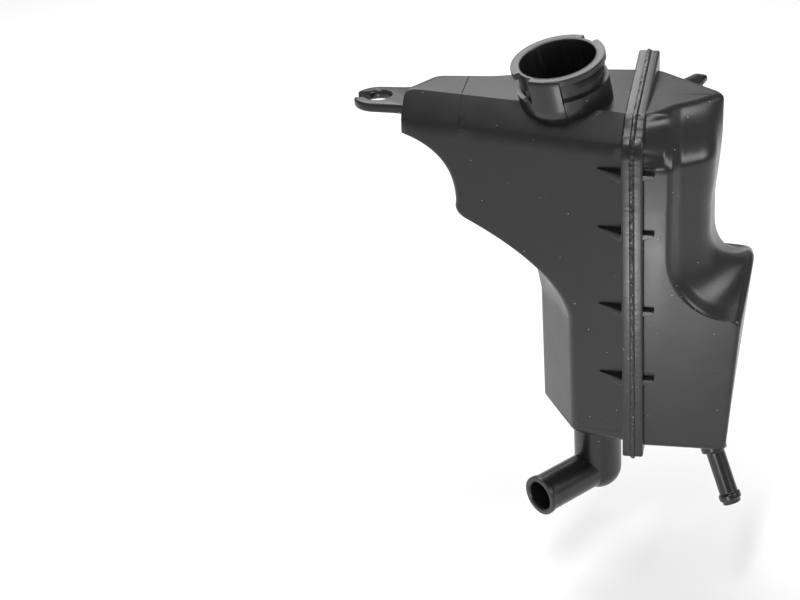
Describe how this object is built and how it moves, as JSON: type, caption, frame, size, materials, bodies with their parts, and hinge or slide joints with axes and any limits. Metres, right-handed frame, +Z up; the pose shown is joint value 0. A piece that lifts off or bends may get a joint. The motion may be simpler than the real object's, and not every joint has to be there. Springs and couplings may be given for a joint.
{
  "type": "power steering reservoir",
  "caption": "Welded two-shell plastic fluid reservoir with an open filler neck, a side hook, two locating pegs, a suction elbow and a return nipple.",
  "frame": {"origin": "middle of the lower locating peg, on its axis", "axes": "+X across the weld flange towards the peg shell, -Y the front, +Z up along the tank"},
  "size_m": [0.2068, 0.1076, 0.2582],
  "materials": {
    "black_polyamide": "satin",
    "pale_polyamide": "satin",
    "steel_gauze": "satin"
  },
  "bodies": {
    "root": {"hook_shell": "black_polyamide", "peg_shell": "black_polyamide", "filter_frame": "pale_polyamide", "filter_mesh": "steel_gauze"}
  },
  "joints": []
}
